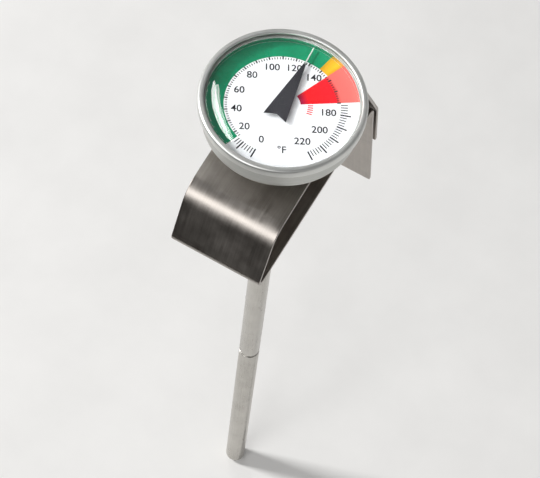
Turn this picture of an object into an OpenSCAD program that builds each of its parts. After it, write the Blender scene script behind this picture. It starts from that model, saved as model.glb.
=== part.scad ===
// Dial thermometer with a straight probe stem and a sliding spring clip.
// Millimetres. +Z runs up the stem to the dial, +Y points from the stem to the vessel
// wall that the clip holds, and the origin is on the stem's axis at the immersion mark.

/* [Stem] */
// Outside diameter of the stem
stem_d = 3.9; // [3.4:0.1:4.8]
// Wall of the stem tube
stem_wall = 0.4; // [0.3:0.05:0.5]
// Length of stem from the immersion mark down to the tip
sensing_length = 50; // [46:1:75]
// Length of stem from the immersion mark up to the nut
free_length = 77; // [62:1:110]
// Width of the immersion mark
mark_w = 0.6; // [0.4:0.1:1]
// Depth of the immersion mark, a groove rolled around the stem
mark_depth = 0.2; // [0.1:0.05:0.25]
// Height of the rounded nose at the tip
nose_h = 1.5; // [1:0.1:1.6]

/* [Case] */
// Outside diameter of the bezel
bezel_d = 27; // [24:0.5:34]
// Width of the bezel's front face, from its outside to the window
bezel_face = 1; // [0.9:0.05:1.6]
// Sheet thickness of the bezel
bezel_t = 0.35; // [0.25:0.05:0.4]
// Sheet thickness of the case
case_t = 0.35; // [0.3:0.05:0.6]
// Radius of the corner between the case's wall and floor
case_corner = 2.2; // [1.5:0.1:3]
// How far the case's rim stands out into the bezel
rim_w = 0.4; // [0.3:0.05:0.6]
// Height of the support ring between the case's floor and the dial
support_h = 4.1; // [3.2:0.1:6]

/* [Dial and lens] */
// Thickness of the dial plate
dial_t = 0.3; // [0.2:0.05:0.5]
// Diameter of the hole in the dial for the pointer's hub
dial_hole = 1.8; // [1.7:0.1:2.4]
// Height of the polished ring above the dial
ring_h = 0.9; // [0.8:0.1:2]
// Wall of the polished ring
ring_t = 0.25; // [0.2:0.05:0.4]
// Thickness of the seal under the lens
lens_seal_t = 0.2; // [0.15:0.05:0.3]
// Thickness of the lens
lens_t = 0.8; // [0.6:0.1:1.2]
// Height that the lens is domed in its middle
lens_rise = 0.5; // [0.3:0.1:0.8]
// Angle of the dial's twelve o'clock from the clip's direction
dial_turn = 29; // [-180:1:180]

/* [Pointer] */
// Temperature that the pointer shows at rest, in degrees Fahrenheit
reading = 127; // [0:1:220]
// Gap between the pointer's tip and the polished ring
tip_gap = 0.3; // [0.3:0.1:1.5]
// Length of the fine needle at the pointer's tip
needle_length = 2.8; // [1:0.1:5]
// Width of the fine needle
needle_w = 0.2; // [0.15:0.05:0.4]
// Distance from the centre to the pointer's tail
tail_reach = 3; // [2:0.1:4.5]
// Width of the pointer's tail
tail_w = 3.9; // [2.8:0.1:4.6]
// Depth of the notch in the pointer's tail
tail_notch = 0.8; // [0.2:0.1:1]
// Thickness of the pointer
blade_t = 0.2; // [0.1:0.05:0.25]
// Gap between the dial and the pointer
blade_gap = 0.5; // [0.3:0.05:0.6]
// Diameter of the pointer's hub
hub_d = 1.4; // [1.2:0.1:1.5]
// Diameter of the pointer's shaft
shaft_d = 0.7; // [0.5:0.05:0.9]

/* [Nut, collar and bearings] */
// Distance across the nut's flats
nut_flats = 8; // [7.5:0.5:10]
// Height of the nut
nut_h = 3.4; // [2.5:0.1:5]
// Diameter of the collar that holds the case on the stem
collar_d = 7.4; // [7:0.1:9]
// Height of the collar
collar_h = 0.9; // [0.7:0.1:1]
// Sheet thickness of the spring washer
washer_t = 0.2; // [0.15:0.05:0.25]
// Height of the spring washer's cone
washer_rise = 0.3; // [0.2:0.05:0.35]
// Width of the neck seal's ring
seal_w = 0.8; // [0.5:0.1:0.9]
// Depth of the neck seal's seat in the nut
seal_seat = 0.4; // [0.3:0.1:1]
// Height of each shaft bearing
bearing_h = 2; // [1.5:0.1:4]

/* [Bimetal coil] */
// Outside diameter of the coil
coil_d = 2.5; // [2:0.1:2.6]
// Length of the coil
coil_length = 32; // [24:1:36]
// Number of turns in the coil
coil_turns = 16; // [8:1:20]
// Thickness of the coil's strip
coil_t = 0.2; // [0.15:0.05:0.3]
// Width of the coil's strip along the stem
coil_strip_w = 1.3; // [0.8:0.1:1.4]

/* [Clip] */
// Width of the clip's strip
clip_w = 16.6; // [12:0.2:20]
// Thickness of the clip's strip
clip_t = 0.6; // [0.4:0.1:0.8]
// Height between the clip's two legs at the stem
leg_spacing = 11.2; // [9:0.2:14]
// Slope of the upper leg, rising towards the wall
upper_rise = 9; // [5:1:12]
// Slope of the lower leg, rising towards the wall
lower_rise = 5; // [2:1:8]
// Distance from the stem to the fold
fold_reach = 19.3; // [16:0.5:24]
// Distance from the stem to the bend above the fold
shoulder_reach = 14.6; // [11:0.2:15.5]
// Distance from the stem to the crest where the upper leg turns down
crest_reach = 14.2; // [12:0.2:14.6]
// Distance from the stem to the corner of the inner tab
tab_reach = 19.5; // [19:0.2:24]
// Length of the inner tab
tab_length = 31.5; // [20:0.5:40]
// Length of the outer hook below the rim
hook_length = 13; // [8:0.5:20]
// Lean of the tab and the hook, outwards from the stem's direction
tab_lean = 10.7; // [0:0.1:11]
// Depth from the tab's corner to the top of the held rim
rim_drop = 3; // [2:0.2:5]
// Thickness of the vessel wall that fits between the tab and the hook
jaw_gap = 1; // [0.8:0.1:1.4]
// Bend radius of the fold, at the middle of the strip
fold_r = 1.2; // [0.9:0.1:1.5]
// Bend radius of the shoulder above the fold, at the middle of the strip
shoulder_r = 5; // [3:0.5:6]
// Bend radius of the other bends, at the middle of the strip
bend_r = 2.2; // [1.6:0.1:2.4]

/* [Fits] */
// Radial clearance of the stem in the clip and in the case
stem_clearance = 0.06; // [0.03:0.01:0.1]
// Radial clearance of the shaft in its bearings
shaft_clearance = 0.03; // [0.02:0.01:0.06]
// Clearance between the rubbing faces of the neck
rub_clearance = 0.05; // [0.03:0.01:0.1]
// Gap between parts that move past each other
part_gap = 0.3; // [0.2:0.05:0.4]

/* [Hidden] */
$fn = 96;

// Scale of the dial: degrees of turn for each degree Fahrenheit, and the reading at twelve o'clock
TURN_PER_DEGREE = 1.4;
TOP_READING = 110;

// Radii of the stem, of what fits in it and of the seal around it
stem_r = stem_d / 2;
seal_r = stem_r + part_gap;
tube_r = stem_r - stem_wall;
shaft_r = shaft_d / 2;
running_r = stem_r + stem_clearance;

// Heights up the stem, from the nut to the front of the bezel
nut_z = free_length;
floor_z = nut_z + nut_h + part_gap;
washer_z = floor_z + case_t + rub_clearance;
collar_z = washer_z + washer_t + washer_rise;
stem_top = collar_z + collar_h;
dial_z = floor_z + case_t + support_h;
face_z = dial_z + dial_t;
seal_z = face_z + ring_h;
lens_z = seal_z + lens_seal_t;
lens_top = lens_z + lens_t;
front_z = lens_top + bezel_t;
blade_z = face_z + blade_gap;

// Radii of the case, from the bezel inwards
bezel_r = bezel_d / 2;
window_r = bezel_r - bezel_face;
rim_r = bezel_r - bezel_t;
case_r = rim_r - rim_w;
cavity_r = case_r - case_t;

// Heights down the stem, from the immersion mark to the tip
tip_z = -sensing_length;
tube_end = tip_z + nose_h;
plug_h = 2;
anchor_h = 1.6;
coil_z = tube_end + plug_h + anchor_h;
coil_top = coil_z + coil_length;
coupling_h = 2.4;
bearing_gap = 4;
shaft_end = coil_top + part_gap;

// Small details of the inner parts
web_t = 0.4;
nut_chamfer = 0.5;
bezel_edge = 0.8 * bezel_t;
coil_steps = 18;

// Clip: heights of the two legs at the stem, which clear the nut's highest corner
nut_corner = nut_flats / 2 / cos(30);
upper_z = nut_z - part_gap - clip_t / 2 / cos(upper_rise) - nut_corner * tan(upper_rise);
lower_z = upper_z - leg_spacing;
jaw_pitch = (jaw_gap + clip_t) / cos(tab_lean);
tab_corner = [tab_reach, lower_z + tab_reach * tan(lower_rise)];
rim_corner = tab_corner + [rim_drop * tan(tab_lean) + jaw_pitch, -rim_drop];
down = [sin(tab_lean), -cos(tab_lean)];

// Corners of the strip's middle line from the tab's tip to the hook's tip, with each bend's radius
CLIP_CORNERS = [
    tab_corner + tab_length * down,
    tab_corner,
    [-fold_reach, lower_z - fold_reach * tan(lower_rise)],
    [-shoulder_reach, upper_z - shoulder_reach * tan(upper_rise)],
    [crest_reach, upper_z + crest_reach * tan(upper_rise)],
    rim_corner,
    rim_corner + hook_length * down
];
CLIP_BENDS = [0, bend_r, fold_r, shoulder_r, bend_r, bend_r, 0];
BEND_STEPS = 12;

// Direction of a line from a to b, and the unit vector of an angle
function heading(a, b) = atan2(b[1] - a[1], b[0] - a[0]);
function unit(angle) = [cos(angle), sin(angle)];
// Smallest signed turn from one heading to another
function turn(from, to) = (to - from + 540) % 360 - 180;

// Points and headings along one rounded corner of a path
function corner_stations(path, radii, i) =
    let (h0 = heading(path[i - 1], path[i]), h1 = heading(path[i], path[i + 1]), sweep = turn(h0, h1),
         side = sign(sweep), start = path[i] - radii[i] * tan(abs(sweep) / 2) * unit(h0),
         centre = start + radii[i] * unit(h0 + side * 90))
    [for (k = [0:BEND_STEPS]) let (h = h0 + sweep * k / BEND_STEPS) [centre - radii[i] * unit(h + side * 90), h]];

// Points and headings along a whole path, from its first end to its last
function path_stations(path, radii) =
    let (last = len(path) - 1)
    concat([[path[0], heading(path[0], path[1])]],
           [for (i = [1:last - 1]) each corner_stations(path, radii, i)],
           [[path[last], heading(path[last - 1], path[last])]]);

// Outline of a strip of one thickness bent along a path
module strip_outline(path, radii, thickness) {
    stations = path_stations(path, radii);
    last = len(stations) - 1;
    left = [for (s = stations) s[0] + thickness / 2 * unit(s[1] + 90)];
    right = [for (i = [last:-1:0]) stations[i][0] - thickness / 2 * unit(stations[i][1] + 90)];
    polygon(concat(left, right));
}

// Ring with square edges
module ring(outer_r, inner_r, height) {
    difference() {
        cylinder(r = outer_r, h = height);
        translate([0, 0, -1]) cylinder(r = inner_r, h = height + 2);
    }
}

// Spring clip: one strip folded into two legs, with a tab inside the wall and a hook outside it
module clip_strip() {
    color([0.66, 0.65, 0.62])
    difference() {
        translate([-clip_w / 2, 0, 0])
        rotate([90, 0, 90])
        linear_extrude(clip_w)
        strip_outline(CLIP_CORNERS, CLIP_BENDS, clip_t);
        translate([0, 0, lower_z - leg_spacing / 2]) cylinder(r = running_r, h = leg_spacing * 2);
    }
}

// Stem tube with the immersion mark turned into it
module stem_tube() {
    color([0.74, 0.73, 0.7])
    rotate_extrude()
    polygon([[tube_r, tube_end], [stem_r, tube_end], [stem_r, 0], [stem_r - mark_depth, 0],
             [stem_r - mark_depth, mark_w], [stem_r, mark_w], [stem_r, stem_top], [tube_r, stem_top]]);
}

// Rounded plug that closes the tip of the stem
module stem_tip() {
    color([0.72, 0.71, 0.68]) {
        translate([0, 0, tube_end]) cylinder(r = tube_r, h = plug_h);
        rotate_extrude()
        intersection() {
            translate([0, tube_end - stem_r]) square([stem_r, stem_r]);
            union() {
                translate([0, tip_z]) square([stem_r - nose_h, nose_h]);
                translate([stem_r - nose_h, tube_end]) circle(nose_h);
            }
        }
    }
}

// Slotted post on the plug that holds the lower end of the coil
module coil_anchor() {
    post_r = coil_d / 2;
    color([0.72, 0.6, 0.36])
    translate([0, 0, tube_end + plug_h])
    difference() {
        cylinder(r = post_r, h = anchor_h);
        translate([-coil_t, -post_r - 1, anchor_h / 2]) cube([2 * coil_t, 2 * post_r + 2, anchor_h]);
    }
}

// Bimetal strip wound into a long open coil
module bimetal_coil() {
    steps = coil_turns * coil_steps;
    outer_r = coil_d / 2;
    climb = coil_length - coil_strip_w;
    corners = [for (r = [outer_r - coil_t, outer_r], z = [0, coil_strip_w]) [r, z]];
    points = [for (i = [0:steps], c = [0, 2, 3, 1])
        let (a = i * 360 / coil_steps, r = corners[c][0], z = corners[c][1] + climb * i / steps)
        [r * cos(a), r * sin(a), coil_z + z]];
    sides = [for (i = [0:steps - 1], k = [0:3]) let (a = 4 * i + k, b = 4 * i + (k + 1) % 4)
        each [[a, b, b + 4], [a, b + 4, a + 4]]];
    ends = [[3, 2, 1, 0], [for (k = [0:3]) 4 * steps + k]];
    color([0.7, 0.52, 0.3]) polyhedron(points, concat(sides, ends));
}

// Bush that centres the pointer's shaft in the stem
module bearing(z) {
    color([0.78, 0.64, 0.34])
    translate([0, 0, z])
    ring(tube_r, shaft_r + shaft_clearance, bearing_h);
}

module lower_bearing() {
    bearing(shaft_end + coupling_h + bearing_gap);
}

module upper_bearing() {
    bearing(stem_top - bearing_h);
}

// Collar fixed on the top of the stem, which holds the case down on the nut
module stem_collar() {
    color([0.7, 0.7, 0.68])
    translate([0, 0, collar_z])
    ring(collar_d / 2, stem_r, collar_h);
}

// Hexagonal nut fixed on the stem, held still by a spanner while the dial is turned
module hex_nut() {
    color([0.7, 0.69, 0.66])
    translate([0, 0, nut_z])
    difference() {
        intersection() {
            cylinder(r = nut_corner, h = nut_h, $fn = 6);
            rotate_extrude()
            polygon([[0, 0], [nut_corner - nut_chamfer, 0], [nut_corner, nut_chamfer],
                     [nut_corner, nut_h - nut_chamfer], [nut_corner - nut_chamfer, nut_h], [0, nut_h]]);
        }
        translate([0, 0, -1]) cylinder(r = stem_r, h = nut_h + 2);
        translate([0, 0, nut_h - seal_seat]) ring(seal_r + seal_w, seal_r, seal_seat + 1);
    }
}

// Rubber ring seated in the nut, against the floor of the case
module neck_seal() {
    color([0.12, 0.12, 0.12])
    translate([0, 0, nut_z + nut_h - seal_seat])
    ring(seal_r + seal_w, seal_r, seal_seat + part_gap - rub_clearance);
}

// Coned spring washer that gives the dial its friction on the stem
module spring_washer() {
    outer_r = collar_d / 2;
    color([0.6, 0.6, 0.6])
    translate([0, 0, washer_z])
    rotate_extrude()
    polygon([[running_r, washer_rise], [outer_r, 0], [outer_r, washer_t], [running_r, washer_rise + washer_t]]);
}

// Collar on the shaft that the upper end of the coil turns
module coil_coupling() {
    color([0.72, 0.6, 0.36])
    translate([0, 0, shaft_end])
    ring(coil_d / 2, shaft_r, coupling_h);
}

module pointer_shaft() {
    color([0.68, 0.68, 0.66])
    translate([0, 0, shaft_end])
    cylinder(r = shaft_r, h = blade_z + blade_t - shaft_end);
}

// Hub pressed on the shaft, with the pointer's blade on top of it
module pointer_hub() {
    color([0.2, 0.2, 0.2])
    translate([0, 0, face_z])
    ring(hub_d / 2, shaft_r, blade_gap);
}

// Tapered blade with a fine needle at its tip and a notched tail
module pointer_blade() {
    pointer_angle = 90 + dial_turn - TURN_PER_DEGREE * (reading - TOP_READING);
    tip_reach = cavity_r - ring_t - tip_gap;
    needle_start = tip_reach - needle_length;
    color([0.17, 0.17, 0.18])
    translate([0, 0, blade_z])
    rotate([0, 0, pointer_angle])
    difference() {
        linear_extrude(blade_t)
        polygon([[-tail_reach, -tail_w / 2], [needle_start, -needle_w / 2], [tip_reach, -needle_w / 2],
                 [tip_reach, needle_w / 2], [needle_start, needle_w / 2], [-tail_reach, tail_w / 2],
                 [tail_notch - tail_reach, 0]]);
        translate([0, 0, -1]) cylinder(r = shaft_r, h = blade_t + 2);
    }
}

// Drawn steel case: floor, rounded corner, wall and rim
module case_back() {
    rim_z = lens_z - case_t;
    color([0.72, 0.71, 0.69])
    rotate_extrude()
    difference() {
        union() {
            translate([running_r, floor_z]) square([case_r - case_corner - running_r, case_t]);
            translate([case_r - case_corner, floor_z + case_corner]) intersection() {
                circle(case_corner);
                translate([0, -case_corner]) square(case_corner);
            }
            translate([cavity_r, floor_z + case_corner]) square([case_t, lens_z - floor_z - case_corner]);
            translate([cavity_r, rim_z]) square([rim_r - cavity_r, case_t]);
        }
        translate([case_r - case_corner, floor_z + case_corner]) circle(case_corner - case_t);
    }
}

// Ring that stands on the case's floor and carries the dial
module dial_support() {
    outer_r = cavity_r - case_corner + case_t;
    color([0.62, 0.62, 0.6])
    translate([0, 0, floor_z + case_t])
    union() {
        ring(outer_r, outer_r - web_t, support_h);
        translate([0, 0, support_h - web_t]) ring(cavity_r, outer_r - web_t, web_t);
    }
}

module dial_plate() {
    color([0.95, 0.95, 0.94])
    translate([0, 0, dial_z])
    ring(cavity_r, dial_hole / 2, dial_t);
}

// Polished ring that holds the dial down and shows around its edge
module dial_ring() {
    color([0.8, 0.8, 0.78])
    translate([0, 0, face_z])
    ring(cavity_r, cavity_r - ring_t, ring_h);
}

module lens_seal() {
    color([0.42, 0.43, 0.42])
    translate([0, 0, seal_z])
    ring(cavity_r, cavity_r - ring_t, lens_seal_t);
}

// Clear lens with a flat rim, which seats on the seal, and a slightly domed middle
module lens() {
    dome_r = (window_r * window_r + lens_rise * lens_rise) / (2 * lens_rise);
    hollow_r = cavity_r - ring_t;
    color([0.85, 0.9, 0.92, 0.35])
    difference() {
        union() {
            translate([0, 0, lens_z]) cylinder(r = rim_r, h = lens_t);
            intersection() {
                translate([0, 0, lens_top + lens_rise - dome_r]) sphere(dome_r, $fn = 200);
                translate([0, 0, lens_z]) cylinder(r = window_r, h = lens_t + lens_rise);
            }
        }
        translate([0, 0, lens_z - sqrt(dome_r * dome_r - hollow_r * hollow_r)]) sphere(dome_r, $fn = 200);
    }
}

// Rolled bezel that clamps the lens to the rim of the case
module bezel_ring() {
    hem_z = lens_z - case_t - bezel_t;
    color([0.78, 0.77, 0.75])
    rotate_extrude()
    difference() {
        union() {
            translate([case_r, hem_z]) square([bezel_r - case_r - bezel_edge, front_z - hem_z]);
            translate([window_r, lens_top]) square([bezel_r - window_r - bezel_edge, bezel_t]);
            translate([case_r, hem_z]) square([bezel_r - case_r, front_z - hem_z - bezel_edge]);
            translate([bezel_r - bezel_edge, front_z - bezel_edge]) circle(bezel_edge);
        }
        translate([0, hem_z + bezel_t]) square([rim_r, lens_top - hem_z - bezel_t]);
    }
}

clip_strip();
stem_tube();
stem_tip();
coil_anchor();
bimetal_coil();
lower_bearing();
upper_bearing();
stem_collar();
hex_nut();
neck_seal();
spring_washer();
coil_coupling();
pointer_shaft();
pointer_hub();
pointer_blade();
case_back();
dial_support();
dial_plate();
dial_ring();
lens_seal();
lens();
bezel_ring();
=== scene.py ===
"""Looks of the dial thermometer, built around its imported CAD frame.

Shapes are worked out in millimetres in the row frame: +Z runs up the stem to the dial, +Y points from the
stem to the wall that the clip holds. Each mesh is scaled to metres when it is made.
"""
from math import atan2, cos, hypot, pi, radians, sin, tan

import bmesh
import bpy
from mathutils import Matrix, Quaternion, Vector


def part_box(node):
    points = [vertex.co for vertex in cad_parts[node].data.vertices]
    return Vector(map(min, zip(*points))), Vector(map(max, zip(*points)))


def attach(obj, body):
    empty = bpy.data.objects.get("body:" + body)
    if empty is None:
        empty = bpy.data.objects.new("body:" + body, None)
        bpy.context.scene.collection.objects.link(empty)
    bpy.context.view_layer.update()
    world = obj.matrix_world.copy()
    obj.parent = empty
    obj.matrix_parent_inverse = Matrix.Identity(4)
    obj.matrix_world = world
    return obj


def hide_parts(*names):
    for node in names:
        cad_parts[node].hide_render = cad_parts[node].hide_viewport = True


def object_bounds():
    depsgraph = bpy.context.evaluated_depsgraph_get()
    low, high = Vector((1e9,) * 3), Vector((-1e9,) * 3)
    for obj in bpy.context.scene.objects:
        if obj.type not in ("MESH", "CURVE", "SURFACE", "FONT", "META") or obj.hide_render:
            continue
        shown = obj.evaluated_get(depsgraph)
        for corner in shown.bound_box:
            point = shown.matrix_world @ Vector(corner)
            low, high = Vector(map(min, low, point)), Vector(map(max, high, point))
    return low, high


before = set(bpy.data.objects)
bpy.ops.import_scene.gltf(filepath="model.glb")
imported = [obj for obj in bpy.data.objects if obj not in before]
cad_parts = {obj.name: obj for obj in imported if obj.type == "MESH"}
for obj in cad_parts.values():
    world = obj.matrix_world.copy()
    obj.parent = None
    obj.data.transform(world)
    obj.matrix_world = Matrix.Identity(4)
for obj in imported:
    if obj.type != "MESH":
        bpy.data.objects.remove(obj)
cad_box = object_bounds()

MM = 0.001

# Steps around the axis: of a small hole, of the stem's parts, of the case's parts, and of the bezel
# and the lens
HOLE_STEPS = 64
STEM_STEPS = 96
CASE_STEPS = 192
LENS_STEPS = 256
# How far a cutting mesh stands out of what it cuts
OVERSHOOT = 1
# Angles in degrees above which an edge is shaded sharp, and above which it is eased
SHARP_ANGLE = 30
EASED_ANGLE = 35

# Edge radii: of fine machined edges, of cut sheet and of turned corners
FINE_EDGE = 0.08
SHEET_EDGE = 0.1
TURNED_EDGE = 0.12
# Gap between parts that move past each other
PART_GAP = 0.3

# Clip: thickness and eased edges of its strip
CLIP_T = 0.6
STRIP_EDGE = 0.1
# Clip: height between its two legs at the stem, and the slopes of the legs, rising towards the wall
LEG_SPACING = 11.2
UPPER_RISE = radians(9)
LOWER_RISE = radians(5)
# Clip: distances from the stem to the fold, the bend above it, the crest and the tab's corner
FOLD_REACH = 19.3
SHOULDER_REACH = 14.6
CREST_REACH = 14.2
TAB_REACH = 19.5
# Clip: lengths of the tab and the hook, their outward lean, the held rim's depth and the wall it takes
TAB_LENGTH = 31.5
HOOK_LENGTH = 13
TAB_LEAN = radians(10.7)
RIM_DROP = 3
JAW_GAP = 1
# Clip: bend radii at the middle of the strip, and the holes for the stem
FOLD_R = 1.2
SHOULDER_R = 5
BEND_R = 2.2
BEND_STEPS = 20
STEM_HOLE_R = 2.01

# Stem: inner radius, immersion mark and the height of the tip's rounding
TUBE_R = 1.55
MARK_W = 0.6
MARK_DEPTH = 0.2
NOSE_H = 1.5

# Nut: height of its chamfers, how far they start inside and run out past its corners, and the seal's seat
NUT_CHAMFER = 0.5
NUT_FACE_INSET = 0.8
NUT_CONE_OUTSET = 0.1
NUT_EDGE = 0.06
SEAL_SEAT = 0.4
SEAL_EDGE = 0.2

# Case, bezel, polished ring and lens
CASE_R = 12.75
CASE_T = 0.35
CASE_CORNER = 2.2
BEZEL_T = 0.35
BEZEL_FRONT_EDGE = 0.45
BEZEL_WINDOW_EDGE = 0.25
BEZEL_BACK_EDGE = 0.3
BEZEL_INSIDE_EDGE = 0.05
WINDOW_R = 12.5
RING_INNER_R = 12.15
RING_EDGE = 0.06
PLATE_EDGE = 0.04
LENS_T = 0.8
# Power of the lens's dome, which is flat in the middle and rolls off at its edge
DOME_ROLL = 4
DOME_STEPS = 40
AIR_GAP = 0.03

# Pointer
HUB_HOLE_R = 0.35
TAIL_REACH = 3
TAIL_W = 3.9
TAIL_NOTCH = 0.8
NEEDLE_LENGTH = 2.8
NEEDLE_W = 0.2
BLADE_EDGE = 0.05

# Printed dial: turn of twelve o'clock from the clip's direction, and the scale
DIAL_TURN = 29
TURN_PER_DEGREE = 1.4
TOP_READING = 110
FULL_SCALE = 220
HOLE_R = 0.9
INK_T = 0.012
# Radius at which an ink's colour stops along the radius end
INK_RAMP_R = 12
# Coloured zones: inner radii of the band and of the wedge, and the readings at their ends
BAND_R = 9.25
WEDGE_R = 2.9
GREEN_START = 16
YELLOW_START = 138
RED_START = 146
RED_END = 170
# Marks: readings between them, lengths on the white and on the zones, widths, and reach into the white
MARK_STEP = 2
LONG_STEP = 10
WHITE_MARKS = {"long": 1.7, "short": 1.1}
ZONE_MARKS = {"long": 0.6, "short": 0.4}
MARK_WIDTHS = {"long": 0.24, "short": 0.15}
ZONE_MARK_REACH = 0.55
# Red strokes beside the wedge
STROKE_START_R = 4.0
STROKE_END_R = 4.9
STROKE_ANGLES = range(88, 109, 5)
STROKE_W = 0.2
# Numbers and the unit
NUMBER_STEP = 20
HIDDEN_NUMBER = 160
NUMBER_R = 7.3
UNIT_R = 8.3
LETTER_SIZE = 1.75
LETTER_BOLD = 0.025

# View of the photograph: direction from the object, in degrees, point aimed at and distance, in millimetres
VIEW_AZIMUTH = 22.96
VIEW_ELEVATION = 60.25
VIEW_ROLL = 8.0
VIEW_CENTRE = (-0.9, 4.7, 35)
VIEW_DISTANCE = 385.3
FOCAL_LENGTH = 143.5

# Stage, in metres: the floor, the point that the lamps face, and the dark card's sides (x) and edges (y, z)
FLOOR_HALF = 2.0
LAMP_AIM = Vector((0, 0, 0.07))
CARD_LEFT = -0.5
CARD_RIGHT = 0.4
CARD_NEAR = (-0.12, -0.045)
CARD_FAR = (-0.3, 0.12)


# ---------------------------------------------------------------- frame and outline helpers

def span(node):
    """Lowest and highest corner of a CAD node, in millimetres."""
    low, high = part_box(node)
    return low / MM, high / MM


def rounded(corners, steps=6):
    """Closed outline through (x, y, radius) corners, each rounded to its radius."""
    points = []
    for i, (x, y, radius) in enumerate(corners):
        corner = Vector((x, y))
        back = (Vector(corners[i - 1][:2]) - corner).normalized()
        ahead = (Vector(corners[(i + 1) % len(corners)][:2]) - corner).normalized()
        if radius == 0:
            points.append(corner)
            continue
        half = back.angle(ahead) / 2
        centre = corner + (back + ahead).normalized() * radius / sin(half)
        start = corner + back * radius / tan(half) - centre
        end = corner + ahead * radius / tan(half) - centre
        sweep = atan2(start.x * end.y - start.y * end.x, start.dot(end))
        points += [centre + Matrix.Rotation(sweep * k / steps, 2) @ start for k in range(steps + 1)]
    return points


def dial_point(radius, theta, z=0.0):
    """Point at an angle clockwise from the dial's twelve o'clock."""
    azimuth = radians(90 + DIAL_TURN - theta)
    return Vector((radius * cos(azimuth), radius * sin(azimuth), z))


def dial_angle(reading):
    """Dial angle of a temperature in degrees Fahrenheit."""
    return (reading - TOP_READING) * TURN_PER_DEGREE


# ---------------------------------------------------------------- mesh helpers

def turned(outline, steps=CASE_STEPS):
    """Mesh of a closed (radius, height) outline turned around the stem's axis."""
    made = bmesh.new()
    rings = []
    for k in range(steps):
        turn = 2 * pi * k / steps
        rings.append([made.verts.new((r * cos(turn), r * sin(turn), z)) for r, z in outline])
    for k in range(steps):
        for i in range(len(outline)):
            if outline[i - 1][0] > 0 or outline[i][0] > 0:
                made.faces.new((rings[k - 1][i - 1], rings[k][i - 1], rings[k][i], rings[k - 1][i]))
    bmesh.ops.remove_doubles(made, verts=made.verts, dist=1e-5)
    bmesh.ops.recalc_face_normals(made, faces=made.faces)
    return made


def prism(outline, low, high):
    """Mesh of a closed (x, y) outline raised from one height to another."""
    made = bmesh.new()
    floor = [made.verts.new((x, y, low)) for x, y in outline]
    roof = [made.verts.new((x, y, high)) for x, y in outline]
    made.faces.new(floor)
    made.faces.new(roof)
    for i in range(len(outline)):
        made.faces.new((floor[i - 1], floor[i], roof[i], roof[i - 1]))
    bmesh.ops.recalc_face_normals(made, faces=made.faces)
    return made


def sheet_of(polygons, low, high):
    """Mesh of flat polygons, joined where they share points and raised from one height to another."""
    made = bmesh.new()
    for polygon in polygons:
        made.faces.new([made.verts.new((p.x, p.y, low)) for p in polygon])
    bmesh.ops.remove_doubles(made, verts=made.verts, dist=1e-5)
    raised = bmesh.ops.extrude_face_region(made, geom=made.faces[:])
    tops = [v for v in raised["geom"] if isinstance(v, bmesh.types.BMVert)]
    bmesh.ops.translate(made, verts=tops, vec=(0, 0, high - low))
    bmesh.ops.recalc_face_normals(made, faces=made.faces)
    return made


def loose_object(name, made):
    """Object from a mesh in millimetres, scaled to metres."""
    bmesh.ops.scale(made, vec=(MM, MM, MM), verts=made.verts)
    mesh = bpy.data.meshes.new(name)
    made.to_mesh(mesh)
    made.free()
    thing = bpy.data.objects.new(name, mesh)
    bpy.context.scene.collection.objects.link(thing)
    return thing


def combine(thing, made, operation):
    """Cuts a mesh in millimetres out of an object, or keeps only what they share."""
    cutter = loose_object("cutter", made)
    modifier = thing.modifiers.new("combine", "BOOLEAN")
    modifier.operation = operation
    modifier.object = cutter
    modifier.solver = "EXACT"
    result = bpy.data.meshes.new_from_object(thing.evaluated_get(bpy.context.evaluated_depsgraph_get()))
    thing.modifiers.clear()
    thing.data = result
    bpy.data.objects.remove(cutter)


def cylinder(radius, low, high, steps=STEM_STEPS):
    """Solid round mesh on the stem's axis, longer at both ends than the span given, to cut or bore with."""
    bottom, top = low - OVERSHOOT, high + OVERSHOOT
    return turned([(0, bottom), (radius, bottom), (radius, top), (0, top)], steps)


def piece(thing, body, look, node=None, edge=0.0):
    """Finishes an object as a visible piece, with its sharp edges eased by edge millimetres."""
    if isinstance(thing, tuple):
        thing = loose_object(*thing)
    thing.data.shade_smooth()
    thing.data.set_sharp_from_angle(angle=radians(SHARP_ANGLE))
    thing.data.materials.clear()
    thing.data.materials.append(look)
    if edge:
        bevel = thing.modifiers.new("eased_edges", "BEVEL")
        bevel.limit_method = "ANGLE"
        bevel.angle_limit = radians(EASED_ANGLE)
        bevel.width = edge * MM
        bevel.segments = 3
        normals = thing.modifiers.new("flat_faces", "WEIGHTED_NORMAL")
        normals.keep_sharp = False
    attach(thing, body)
    if node:
        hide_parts(node)


# ---------------------------------------------------------------- material helpers

def srgb(red, green, blue):
    """Linear colour of an sRGB colour given in 0 to 255."""
    shares = [c / 255 for c in (red, green, blue)]
    return tuple(c / 12.92 if c <= 0.04045 else ((c + 0.055) / 1.055) ** 2.4 for c in shares) + (1.0,)


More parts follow.
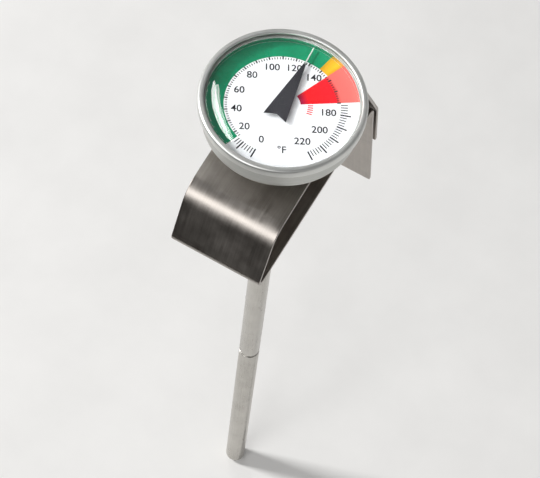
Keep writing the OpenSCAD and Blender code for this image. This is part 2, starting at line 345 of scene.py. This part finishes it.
class Look:
    """A material with one Principled shader, and short ways to add nodes to it."""

    def __init__(self, name, **sockets):
        self.material = bpy.data.materials.new(name)
        self.material.use_nodes = True
        self.tree = self.material.node_tree
        self.shader = self.tree.nodes["Principled BSDF"]
        for socket, value in sockets.items():
            self.feed(self.shader, socket.replace("_", " "), value)

    def feed(self, node, socket, value):
        """Links an output to a socket, or sets the socket to a plain value."""
        if isinstance(value, bpy.types.NodeSocket):
            self.tree.links.new(value, node.inputs[socket])
        else:
            node.inputs[socket].default_value = value

    def add(self, kind, inputs=None, **settings):
        """Adds a node with its settings and inputs."""
        node = self.tree.nodes.new("ShaderNode" + kind)
        for setting, value in settings.items():
            setattr(node, setting, value)
        for socket, value in (inputs or {}).items():
            self.feed(node, socket, value)
        return node

    def place(self):
        """Position in the row frame, in metres."""
        return self.add("TexCoord").outputs["Object"]

    def stretched(self, vector, factors):
        """A vector with each component multiplied."""
        return self.add("VectorMath", {0: vector, 1: factors}, operation="MULTIPLY").outputs["Vector"]

    def axis_distance(self):
        """Distance from the stem's axis, in metres."""
        flat = self.stretched(self.place(), (1, 1, 0))
        return self.add("VectorMath", {0: flat}, operation="LENGTH").outputs["Value"]

    def around_axis(self):
        """Coordinates that are the same all round the stem's axis, so noise in them makes turning lines."""
        height = self.add("SeparateXYZ", {0: self.place()}).outputs["Z"]
        return self.add("CombineXYZ", {"X": self.axis_distance(), "Z": height}).outputs["Vector"]

    def noise(self, vector, scale, detail=3.0, roughness=0.55):
        """Noise value from 0 to 1."""
        inputs = {"Vector": vector, "Scale": scale, "Detail": detail, "Roughness": roughness}
        return self.add("TexNoise", inputs).outputs["Fac"]

    def between(self, value, low, high, start=0.3, end=0.7):
        """Maps a value from the span start to end onto low to high."""
        inputs = {"Value": value, "From Min": start, "From Max": end, "To Min": low, "To Max": high}
        return self.add("MapRange", inputs).outputs["Result"]

    def ramp(self, value, stops):
        """Colour ramp with (position, colour) stops."""
        node = self.add("ValToRGB", {"Fac": value})
        elements = node.color_ramp.elements
        while len(elements) < len(stops):
            elements.new(0.5)
        for element, (position, colour) in zip(elements, stops):
            element.position = position
            element.color = colour
        return node.outputs["Color"]

    def bump(self, height, strength, depth_mm):
        """Bumps the shader's normal by a height from 0 to 1."""
        node = self.add("Bump", {"Height": height, "Strength": strength, "Distance": depth_mm * MM})
        self.feed(self.shader, "Normal", node.outputs["Normal"])

    def total(self, first, second):
        """Sum of two values."""
        return self.add("Math", {0: first, 1: second}, operation="ADD").outputs["Value"]


def metal(name, light, dark, roughness, spread, grain):
    """Bare metal with a grain and cloudy handling marks.

    grain is "rolled" along the clip's strip, "drawn" along the stem, or "turned" around its axis.
    """
    look = Look(name, Metallic=1.0)
    if grain == "turned":
        lines = look.noise(look.around_axis(), 5200.0, 4.0)
    elif grain == "drawn":
        lines = look.noise(look.stretched(look.place(), (3600, 3600, 160)), 1.0, 4.0)
    else:
        lines = look.noise(look.stretched(look.place(), (3200, 110, 110)), 1.0, 4.0)
    clouds = look.noise(look.place(), 210.0, 4.0, 0.6)
    blotches = look.total(look.between(clouds, 0.0, 0.62), look.between(lines, 0.0, 0.38))
    look.feed(look.shader, "Base Color", look.ramp(blotches, [(0.1, dark), (0.9, light)]))
    cloudy = look.between(clouds, roughness - spread, roughness + spread)
    look.feed(look.shader, "Roughness", look.total(cloudy, look.between(lines, -0.04, 0.04)))
    look.bump(lines, 0.1, 0.01)
    return look.material


def brass(name, light, dark):
    """Machined brass with turning lines and slight tarnish."""
    look = Look(name, Metallic=1.0)
    tarnish = look.noise(look.place(), 420.0)
    lines = look.noise(look.around_axis(), 6000.0)
    look.feed(look.shader, "Base Color", look.ramp(tarnish, [(0.35, dark), (0.65, light)]))
    look.feed(look.shader, "Roughness", look.between(lines, 0.24, 0.4))
    look.bump(lines, 0.15, 0.01)
    return look.material


def rubber(name, dark, dusty):
    """Soft rubber with a dusty bloom."""
    look = Look(name)
    dust = look.noise(look.place(), 900.0)
    look.feed(look.shader, "Base Color", look.ramp(dust, [(0.3, dark), (0.75, dusty)]))
    look.feed(look.shader, "Roughness", look.between(dust, 0.62, 0.8))
    look.bump(dust, 0.25, 0.02)
    return look.material


def ink(name, stops, source="noise"):
    """Satin enamel print, with colour stops along a noise, or the radius or angle about the axis."""
    look = Look(name, Specular_IOR_Level=0.15)
    mottle = look.noise(look.place(), 1500.0)
    if source == "radius":
        full = INK_RAMP_R * MM
        value = look.add("Math", {0: look.axis_distance(), 1: full}, operation="DIVIDE").outputs["Value"]
    elif source == "angle":
        value = look.add("TexGradient", {"Vector": look.place()}, gradient_type="RADIAL").outputs["Fac"]
    else:
        value = mottle
    look.feed(look.shader, "Base Color", look.ramp(value, stops))
    look.feed(look.shader, "Roughness", look.between(mottle, 0.36, 0.5))
    look.bump(mottle, 0.08, 0.01)
    return look.material


def clear_lens(name):
    """Clear lens with faint smears, which lets lamps light what is under it."""
    look = Look(name, Transmission_Weight=1.0, IOR=1.49, Base_Color=(0.985, 0.995, 0.99, 1.0))
    smears = look.noise(look.place(), 260.0, 4.0)
    look.feed(look.shader, "Roughness", look.between(smears, 0.0, 0.035, 0.45, 0.75))
    open_to_lamps = look.add("BsdfTransparent", {"Color": (0.96, 0.97, 0.965, 1.0)}).outputs["BSDF"]
    path = look.add("LightPath").outputs["Is Shadow Ray"]
    mix = look.add("MixShader", {0: path, 1: look.shader.outputs["BSDF"], 2: open_to_lamps})
    look.feed(look.tree.nodes["Material Output"], "Surface", mix.outputs["Shader"])
    return look.material


def polished(name):
    """Polished steel ring with the faintest turning lines."""
    look = Look(name, Metallic=1.0)
    lines = look.noise(look.around_axis(), 4000.0)
    shades = [(0.3, srgb(206, 208, 207)), (0.7, srgb(228, 229, 228))]
    look.feed(look.shader, "Base Color", look.ramp(lines, shades))
    look.feed(look.shader, "Roughness", look.between(lines, 0.07, 0.13))
    return look.material


# ---------------------------------------------------------------- clip

def clip_path():
    """Corners (y, z) of the strip's middle line, from the tab's tip to the hook's, and the bends' radii."""
    nut_low, nut_high = span("hex_nut")
    upper_z = nut_low.z - PART_GAP - CLIP_T / 2 / cos(UPPER_RISE) - nut_high.x * tan(UPPER_RISE)
    lower_z = upper_z - LEG_SPACING
    tab = Vector((TAB_REACH, lower_z + TAB_REACH * tan(LOWER_RISE)))
    rim = tab + Vector((RIM_DROP * tan(TAB_LEAN) + (JAW_GAP + CLIP_T) / cos(TAB_LEAN), -RIM_DROP))
    down = Vector((sin(TAB_LEAN), -cos(TAB_LEAN)))
    fold = Vector((-FOLD_REACH, lower_z - FOLD_REACH * tan(LOWER_RISE)))
    shoulder = Vector((-SHOULDER_REACH, upper_z - SHOULDER_REACH * tan(UPPER_RISE)))
    crest = Vector((CREST_REACH, upper_z + CREST_REACH * tan(UPPER_RISE)))
    corners = [tab + TAB_LENGTH * down, tab, fold, shoulder, crest, rim, rim + HOOK_LENGTH * down]
    return corners, [0, BEND_R, FOLD_R, SHOULDER_R, BEND_R, BEND_R, 0]


def corner_stations(path, radius, i):
    """Points and headings along one rounded corner of a path."""
    into, out = (path[i] - path[i - 1]).normalized(), (path[i + 1] - path[i]).normalized()
    sweep = atan2(into.x * out.y - into.y * out.x, into.dot(out))
    side = 1 if sweep > 0 else -1
    start = path[i] - into * radius * tan(abs(sweep) / 2)
    centre = start + Vector((-into.y, into.x)) * side * radius
    stations = []
    for k in range(BEND_STEPS + 1):
        ahead = Matrix.Rotation(sweep * k / BEND_STEPS, 2) @ into
        stations.append((centre + Vector((ahead.y, -ahead.x)) * side * radius, ahead))
    return stations


def clip_stations():
    """Points and headings along the whole strip."""
    path, radii = clip_path()
    stations = [(path[0], (path[1] - path[0]).normalized())]
    for i in range(1, len(path) - 1):
        stations += corner_stations(path, radii[i], i)
    stations.append((path[-1], (path[-1] - path[-2]).normalized()))
    return stations


def clip_strip(look):
    """Spring strip swept along its bends, with the stem's holes through both legs."""
    low, high = span("clip_strip")
    made = bmesh.new()
    loops = []
    for middle, ahead in clip_stations():
        across = Vector((-ahead.y, ahead.x)) * CLIP_T / 2
        faces = [middle + across, middle - across]
        ring = [(low.x, faces[0]), (high.x, faces[0]), (high.x, faces[1]), (low.x, faces[1])]
        loops.append([made.verts.new((x, p.x, p.y)) for x, p in ring])
    made.faces.new(loops[0])
    made.faces.new(loops[-1])
    for before, after in zip(loops, loops[1:]):
        for k in range(4):
            made.faces.new((before[k - 1], before[k], after[k], after[k - 1]))
    bmesh.ops.recalc_face_normals(made, faces=made.faces)
    strip = loose_object("spring_clip", made)
    combine(strip, cylinder(STEM_HOLE_R, low.z, high.z), "DIFFERENCE")
    piece(strip, "clip", look, "clip_strip", STRIP_EDGE)


# ---------------------------------------------------------------- stem

def stem_tube(look):
    """Drawn tube with the rolled immersion mark."""
    low, high = span("stem_tube")
    mark_r = high.x - MARK_DEPTH
    outline = rounded([
        (TUBE_R, low.z, 0), (high.x, low.z, 0), (high.x, 0, TURNED_EDGE), (mark_r, 0, FINE_EDGE),
        (mark_r, MARK_W, FINE_EDGE), (high.x, MARK_W, TURNED_EDGE), (high.x, high.z, FINE_EDGE),
        (TUBE_R, high.z, FINE_EDGE),
    ], 4)
    piece(("stem_tube_drawn", turned(outline, STEM_STEPS)), "stem", look, "stem_tube")


def stem_tip(look):
    """Plug with its rounded nose, welded flush with the tube."""
    low, high = span("stem_tip")
    tube_end = low.z + NOSE_H
    outline = rounded([
        (0, low.z, 0), (high.x, low.z, NOSE_H), (high.x, tube_end, 0), (TUBE_R, tube_end, 0),
        (TUBE_R, high.z, SHEET_EDGE), (0, high.z, 0),
    ], 12)
    piece(("stem_tip_rounded", turned(outline, STEM_STEPS)), "stem", look, "stem_tip")


def hex_nut(look):
    """Hexagonal nut with turned chamfers, its bore and the seat of the neck seal."""
    low, high = span("hex_nut")
    stem_r = span("stem_tube")[1].x
    seal_r = span("neck_seal")[1].x
    corner = high.x
    hexagon = [(corner * cos(k * pi / 3), corner * sin(k * pi / 3)) for k in range(6)]
    nut = loose_object("hex_nut_milled", prism(hexagon, low.z, high.z))
    face_r, outer_r = corner - NUT_FACE_INSET, corner + NUT_CONE_OUTSET
    bottom, top = low.z - OVERSHOOT, high.z + OVERSHOOT
    chamfered = [(0, bottom), (face_r, bottom), (face_r, low.z), (outer_r, low.z + NUT_CHAMFER),
                 (outer_r, high.z - NUT_CHAMFER), (face_r, high.z), (face_r, top), (0, top)]
    combine(nut, turned(chamfered, STEM_STEPS), "INTERSECT")
    combine(nut, cylinder(stem_r, low.z, high.z), "DIFFERENCE")
    seat_r, seat_z = stem_r + PART_GAP, high.z - SEAL_SEAT
    seat = [(seat_r, seat_z), (seal_r, seat_z), (seal_r, top), (seat_r, top)]
    combine(nut, turned(seat, STEM_STEPS), "DIFFERENCE")
    piece(nut, "stem", look, "hex_nut", NUT_EDGE)


def neck_seal(look):
    """Rubber ring between the nut and the case."""
    low, high = span("neck_seal")
    inner_r = span("stem_tube")[1].x + PART_GAP
    outline = rounded([
        (inner_r, low.z, SHEET_EDGE), (high.x, low.z, SHEET_EDGE), (high.x, high.z, SEAL_EDGE),
        (inner_r, high.z, SEAL_EDGE),
    ])
    piece(("neck_seal_moulded", turned(outline, STEM_STEPS)), "stem", look, "neck_seal")


# ---------------------------------------------------------------- case, bezel and lens

def case_back(look):
    """Drawn case: floor, rounded corner, wall and rim."""
    low, high = span("case_back")
    inner_r = CASE_R - CASE_T
    floor_top, rim_low = low.z + CASE_T, high.z - CASE_T
    outline = rounded([
        (STEM_HOLE_R, low.z, SHEET_EDGE), (CASE_R, low.z, CASE_CORNER), (CASE_R, rim_low, TURNED_EDGE),
        (high.x, rim_low, SHEET_EDGE), (high.x, high.z, SHEET_EDGE), (inner_r, high.z, SHEET_EDGE),
        (inner_r, floor_top, CASE_CORNER - CASE_T), (STEM_HOLE_R, floor_top, SHEET_EDGE),
    ], 10)
    piece(("case_back_drawn", turned(outline)), "head", look, "case_back")


def bezel_ring(look):
    """Bezel rolled over the lens and under the case's rim."""
    low, high = span("bezel_ring")
    inner_r = high.x - BEZEL_T
    lens_top = high.z - BEZEL_T
    hem_top = low.z + BEZEL_T
    outline = rounded([
        (WINDOW_R, lens_top, SHEET_EDGE), (inner_r, lens_top, BEZEL_INSIDE_EDGE),
        (inner_r, hem_top, BEZEL_INSIDE_EDGE), (CASE_R, hem_top, SHEET_EDGE), (CASE_R, low.z, TURNED_EDGE),
        (high.x, low.z, BEZEL_BACK_EDGE), (high.x, high.z, BEZEL_FRONT_EDGE),
        (WINDOW_R, high.z, BEZEL_WINDOW_EDGE),
    ], 8)
    piece(("bezel_rolled", turned(outline, LENS_STEPS)), "head", look, "bezel_ring")


def lens(look):
    """Clear lens: flat rim, domed middle and a hollow underside, just clear of what it touches."""
    low, high = span("lens")
    rise = high.z - low.z - LENS_T
    seat = low.z + AIR_GAP
    shoulder = low.z + LENS_T
    rim_r = high.x - AIR_GAP

    def dome(edge_r, edge_z):
        """Points of a shallow dome that rolls off towards its edge, from the axis outwards."""
        shares = [k / DOME_STEPS for k in range(DOME_STEPS + 1)]
        return [(edge_r * share, edge_z + rise * (1 - share ** DOME_ROLL)) for share in shares]

    rim = [(WINDOW_R + AIR_GAP, shoulder - AIR_GAP), (rim_r, shoulder - AIR_GAP), (rim_r, seat)]
    outline = dome(WINDOW_R, shoulder) + rim + list(reversed(dome(RING_INNER_R, seat)))
    piece(("lens_clear_dome", turned(outline, LENS_STEPS)), "head", look, "lens")


def plain_ring(name, node, inner_r, ease, look):
    """Ring of the head that stands for a CAD ring, with eased edges."""
    low, high = span(node)
    corners = [(inner_r, low.z), (high.x, low.z), (high.x, high.z), (inner_r, high.z)]
    outline = rounded([(r, z, ease) for r, z in corners], 4)
    piece((name, turned(outline)), "head", look, node)


# ---------------------------------------------------------------- printed dial

def band(inner_r, outer_r, start, end):
    """Polygons of a band of the dial between two angles, about a degree each."""
    count = max(1, round(abs(end - start)))
    angles = [start + (end - start) * k / count for k in range(count + 1)]
    return [[dial_point(inner_r, a), dial_point(outer_r, a), dial_point(outer_r, b), dial_point(inner_r, b)]
            for a, b in zip(angles, angles[1:])]


def stroke(inner_r, outer_r, theta, width):
    """Polygon of a straight radial mark of one width."""
    side = (dial_point(1, theta + 90)).normalized() * width / 2
    near, far = dial_point(inner_r, theta), dial_point(outer_r, theta)
    return [near - side, far - side, far + side, near + side]


def zones(face_z, looks):
    """Coloured zones: the safe band, the warning band and the scalding wedge."""
    ranges = [("green", BAND_R, GREEN_START, YELLOW_START), ("yellow", BAND_R, YELLOW_START, RED_START),
              ("red", WEDGE_R, RED_START, RED_END)]
    for colour, inner_r, start, end in ranges:
        polygons = band(inner_r, RING_INNER_R, dial_angle(start), dial_angle(end))
        made = sheet_of(polygons, face_z, face_z + INK_T)
        piece(("zone_" + colour, made), "head", looks[colour])


def scale_marks(face_z, look):
    """Marks of the scale, longer at each ten degrees and on the white part of the band."""
    marks = []
    for reading in range(0, FULL_SCALE + 1, MARK_STEP):
        kind = "long" if reading % LONG_STEP == 0 else "short"
        on_white = reading < GREEN_START or reading > RED_END
        inner_r = BAND_R if on_white else BAND_R - ZONE_MARK_REACH
        length = (WHITE_MARKS if on_white else ZONE_MARKS)[kind]
        marks.append(stroke(inner_r, inner_r + length, dial_angle(reading), MARK_WIDTHS[kind]))
    piece(("scale_marks", sheet_of(marks, face_z, face_z + 2 * INK_T)), "head", look)


def wedge_marks(face_z, look):
    """Short red strokes beside the wedge's inner end."""
    marks = [stroke(STROKE_START_R, STROKE_END_R, theta, STROKE_W) for theta in STROKE_ANGLES]
    piece(("wedge_marks", sheet_of(marks, face_z, face_z + INK_T)), "head", look)


def lettering(text, centre, made):
    """Adds generic characters, upright on the dial and centred on a point, to a mesh."""
    curve = bpy.data.curves.new("characters", "FONT")
    curve.body = text
    curve.size = LETTER_SIZE
    curve.align_x = "CENTER"
    curve.align_y = "CENTER"
    curve.extrude = INK_T / 2
    curve.offset = LETTER_BOLD
    curve.resolution_u = 4
    writer = bpy.data.objects.new("characters", curve)
    bpy.context.scene.collection.objects.link(writer)
    mesh = bpy.data.meshes.new_from_object(writer.evaluated_get(bpy.context.evaluated_depsgraph_get()))
    mesh.transform(Matrix.Translation(centre) @ Matrix.Rotation(radians(DIAL_TURN), 4, "Z"))
    made.from_mesh(mesh)
    bpy.data.objects.remove(writer)
    bpy.data.curves.remove(curve)
    bpy.data.meshes.remove(mesh)


def dial_numbers(face_z, look):
    """Numbers at each twenty degrees that the wedge leaves free, and the unit."""
    made = bmesh.new()
    z = face_z + 1.5 * INK_T
    for reading in range(0, FULL_SCALE + 1, NUMBER_STEP):
        if reading != HIDDEN_NUMBER:
            lettering(str(reading), dial_point(NUMBER_R, dial_angle(reading), z), made)
    lettering("°F", dial_point(UNIT_R, 180, z), made)
    bmesh.ops.remove_doubles(made, verts=made.verts, dist=1e-5)
    piece(("dial_numbers", made), "head", look)


# ---------------------------------------------------------------- pointer

def pointer_blade(look):
    """Tapered blade with a notched tail, pointing the way the CAD blade does."""
    low, high = span("pointer_blade")
    corners = [v.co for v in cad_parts["pointer_blade"].data.vertices]
    tip = max(corners, key=lambda corner: hypot(corner.x, corner.y)) / MM
    reach = hypot(tip.x, tip.y)
    taper_end = reach - NEEDLE_LENGTH
    outline = [(-TAIL_REACH, -TAIL_W / 2), (taper_end, -NEEDLE_W / 2), (reach, -NEEDLE_W / 2),
               (reach, NEEDLE_W / 2), (taper_end, NEEDLE_W / 2), (-TAIL_REACH, TAIL_W / 2),
               (TAIL_NOTCH - TAIL_REACH, 0)]
    made = prism(outline, low.z, high.z)
    bmesh.ops.rotate(made, verts=made.verts, matrix=Matrix.Rotation(atan2(tip.y, tip.x), 3, "Z"))
    blade = loose_object("pointer_blade_painted", made)
    combine(blade, cylinder(HUB_HOLE_R, low.z, high.z, HOLE_STEPS), "DIFFERENCE")
    piece(blade, "pointer", look, "pointer_blade", BLADE_EDGE)


# ---------------------------------------------------------------- staging

def direction(azimuth, elevation):
    """Unit vector towards a viewer, with azimuth 0 looking along +Y."""
    a, e = radians(azimuth), radians(elevation)
    return Vector((sin(a) * cos(e), -cos(a) * cos(e), sin(e)))


def add_camera():
    """Camera at the photograph's angle, turned on its axis as the photograph is."""
    camera = bpy.data.objects.new("camera", bpy.data.cameras.new("camera"))
    bpy.context.scene.collection.objects.link(camera)
    camera.data.lens = FOCAL_LENGTH
    camera.data.clip_start = 0.01
    back = direction(VIEW_AZIMUTH, VIEW_ELEVATION)
    camera.location = (Vector(VIEW_CENTRE) + back * VIEW_DISTANCE) * MM
    camera.rotation_mode = "QUATERNION"
    level = (-back).to_track_quat("-Z", "Y")
    camera.rotation_quaternion = level @ Quaternion((0, 0, 1), radians(VIEW_ROLL))
    bpy.context.scene.camera = camera


def add_softbox(name, towards, distance, along, width, length, power, shape="RECTANGLE"):
    """Softbox that faces the dial from a direction, its length laid along another."""
    lamp = bpy.data.lights.new(name, "AREA")
    lamp.shape = shape
    lamp.size = width
    lamp.size_y = length
    lamp.energy = power
    box = bpy.data.objects.new(name, lamp)
    bpy.context.scene.collection.objects.link(box)
    way = Vector(towards).normalized()
    across = Vector(along).cross(way).normalized()
    facing = Matrix((across, way.cross(across), way)).transposed().to_4x4()
    box.matrix_world = Matrix.Translation(LAMP_AIM + way * distance) @ facing


def add_sheet(name, corners, look):
    """Flat sheet through four corners, in metres, which isn't part of the object."""
    mesh = bpy.data.meshes.new(name)
    mesh.from_pydata(corners, [], [(0, 1, 2, 3)])
    mesh.materials.append(look.material)
    sheet = bpy.data.objects.new(name, mesh)
    bpy.context.scene.collection.objects.link(sheet)
    return sheet


def add_floor(tip_z):
    """Plain pale floor under the stem's tip."""
    look = Look("floor_paint", Roughness=0.9, Specular_IOR_Level=0.1)
    speckle = look.noise(look.place(), 60.0)
    shades = [(0.3, srgb(238, 237, 235)), (0.7, srgb(243, 242, 240))]
    look.feed(look.shader, "Base Color", look.ramp(speckle, shades))
    sides = [(-1, -1), (1, -1), (1, 1), (-1, 1)]
    add_sheet("floor", [(x * FLOOR_HALF, y * FLOOR_HALF, tip_z) for x, y in sides], look)


def add_dark_card():
    """Dark card that only reflections see, which gives the steel its dark side."""
    look = Look("card_paint", Roughness=1.0)
    weave = look.noise(look.place(), 80.0)
    shades = [(0.3, srgb(26, 24, 22)), (0.7, srgb(34, 31, 28))]
    look.feed(look.shader, "Base Color", look.ramp(weave, shades))
    near = [(CARD_LEFT, *CARD_NEAR), (CARD_RIGHT, *CARD_NEAR)]
    far = [(CARD_RIGHT, *CARD_FAR), (CARD_LEFT, *CARD_FAR)]
    card = add_sheet("dark_card", near + far, look)
    card.visible_camera = False
    card.visible_diffuse = False
    card.visible_shadow = False


def add_world():
    """Even pale surroundings, darker overhead."""
    world = bpy.data.worlds.new("studio")
    world.use_nodes = True
    tree = world.node_tree
    height = tree.nodes.new("ShaderNodeSeparateXYZ")
    ramp = tree.nodes.new("ShaderNodeValToRGB")
    tree.links.new(tree.nodes.new("ShaderNodeTexCoord").outputs["Generated"], height.inputs[0])
    tree.links.new(height.outputs["Z"], ramp.inputs["Fac"])
    ramp.color_ramp.elements[0].color = srgb(250, 250, 250)
    ramp.color_ramp.elements[1].color = srgb(96, 96, 96)
    tree.links.new(ramp.outputs["Color"], tree.nodes["Background"].inputs["Color"])
    tree.nodes["Background"].inputs["Strength"].default_value = 0.62
    bpy.context.scene.world = world


# ---------------------------------------------------------------- the whole model

def paint_kept_nodes(looks):
    """Materials for the inner CAD nodes that keep their own meshes."""
    kept = {
        "brass": ["coil_anchor", "lower_bearing", "upper_bearing", "coil_coupling"],
        "bimetal": ["bimetal_coil"],
        "inner": ["stem_collar", "spring_washer"],
        "aluminium": ["dial_support"],
        "black": ["pointer_hub", "pointer_shaft"],
    }
    for look, nodes in kept.items():
        for node in nodes:
            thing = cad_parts[node]
            thing.data.materials.clear()
            thing.data.materials.append(looks[look])


def metal_looks():
    """Looks of the steel and aluminium pieces."""
    return {
        "clip": metal("clip_steel_rolled", srgb(176, 170, 164), srgb(148, 142, 136), 0.36, 0.05, "rolled"),
        "stem": metal("stem_steel_drawn", srgb(200, 197, 191), srgb(176, 173, 167), 0.3, 0.04, "drawn"),
        "case": metal("case_steel_turned", srgb(206, 207, 203), srgb(188, 189, 185), 0.42, 0.04, "turned"),
        "bezel": metal("bezel_steel_rolled", srgb(232, 233, 230), srgb(214, 215, 212), 0.46, 0.04, "turned"),
        "nut": metal("nut_steel_turned", srgb(196, 195, 192), srgb(170, 169, 166), 0.26, 0.04, "turned"),
        "inner": metal("inner_steel_turned", srgb(184, 184, 184), srgb(160, 160, 160), 0.34, 0.05, "turned"),
        "aluminium": metal("support_aluminium_turned", srgb(206, 207, 209), srgb(186, 187, 189), 0.36, 0.04,
                           "turned"),
        "ring": polished("ring_polished_steel"),
    }


def fitting_looks():
    """Looks of the brass, the seals and the lens."""
    return {
        "brass": brass("brass_turned", srgb(214, 186, 120), srgb(176, 146, 88)),
        "bimetal": brass("bimetal_rolled", srgb(206, 168, 118), srgb(160, 120, 82)),
        "rubber": rubber("seal_rubber_black", srgb(22, 22, 23), srgb(46, 46, 47)),
        "silicone": rubber("seal_silicone_grey", srgb(150, 152, 149), srgb(172, 173, 170)),
        "lens": clear_lens("lens_clear_acrylic"),
    }


def ink_looks():
    """Looks of the dial's enamel, of the inks and of the pointer, which pales towards its tip: the pale tip
    is paint that also serves as a painted highlight on the thin needle.
    """
    yellow = [(0.68, srgb(236, 104, 16)), (0.70, srgb(248, 176, 30)), (0.72, srgb(196, 150, 14))]
    red = [(0.27, srgb(160, 8, 56)), (0.36, srgb(224, 14, 24)), (0.72, srgb(222, 18, 34)),
           (0.79, srgb(234, 104, 98))]
    # Pointer: dark paint, turning pale from about 8 mm out from the axis; the pale tip is partly a painted
    # highlight standing in for the light the thin needle catches.
    pointer = [(0.2, srgb(50, 49, 54)), (0.68, srgb(34, 34, 38)), (0.75, srgb(206, 212, 208))]
    return {
        "white": ink("dial_enamel_white", [(0.3, srgb(232, 232, 236)), (0.7, srgb(240, 240, 243))]),
        "green": ink("zone_ink_green", [(0.3, srgb(0, 126, 86)), (0.7, srgb(0, 138, 96))]),
        "yellow": ink("zone_ink_yellow", yellow, "angle"),
        "red": ink("zone_ink_red", red, "radius"),
        "print": ink("scale_ink_black", [(0.3, srgb(26, 26, 30)), (0.7, srgb(48, 48, 54))]),
        "black": ink("pointer_black_paint_and_painted_tip_glint", pointer, "radius"),
    }


def build():
    """Makes every visible piece of the thermometer."""
    looks = {**metal_looks(), **fitting_looks(), **ink_looks()}
    paint_kept_nodes(looks)
    clip_strip(looks["clip"])
    stem_tube(looks["stem"])
    stem_tip(looks["stem"])
    hex_nut(looks["nut"])
    neck_seal(looks["rubber"])
    case_back(looks["case"])
    bezel_ring(looks["bezel"])
    plain_ring("dial_plate_enamelled", "dial_plate", HOLE_R, PLATE_EDGE, looks["white"])
    plain_ring("dial_ring_polished", "dial_ring", RING_INNER_R, RING_EDGE, looks["ring"])
    plain_ring("lens_seal_moulded", "lens_seal", RING_INNER_R, PLATE_EDGE,
               looks["silicone"])
    lens(looks["lens"])
    face_z = span("dial_plate")[1].z
    zones(face_z, looks)
    scale_marks(face_z, looks["print"])
    wedge_marks(face_z, looks["red"])
    dial_numbers(face_z, looks["print"])
    pointer_blade(looks["black"])


def stage():
    """Camera, floor and soft studio light."""
    bpy.context.scene.view_settings.view_transform = "Standard"
    add_camera()
    add_world()
    add_floor(cad_box[0].z)
    add_dark_card()
    add_softbox("softbox_front", towards=(-0.16, -0.78, 0.6), distance=1.5, along=(0, 0.6, 0.8),
                width=0.85, length=0.62, power=7.4)
    add_softbox("softbox_side", towards=(-0.8, -0.19, 0.57), distance=1.6, along=(0, 1, 0),
                width=0.23, length=0.27, power=21.0)
    add_softbox("softbox_strip", towards=(-0.363, 0.352, 0.862), distance=1.4, along=(-0.14, 0.17, -0.125),
                width=0.068, length=0.38, power=1.0, shape="ELLIPSE")


stage()
build()
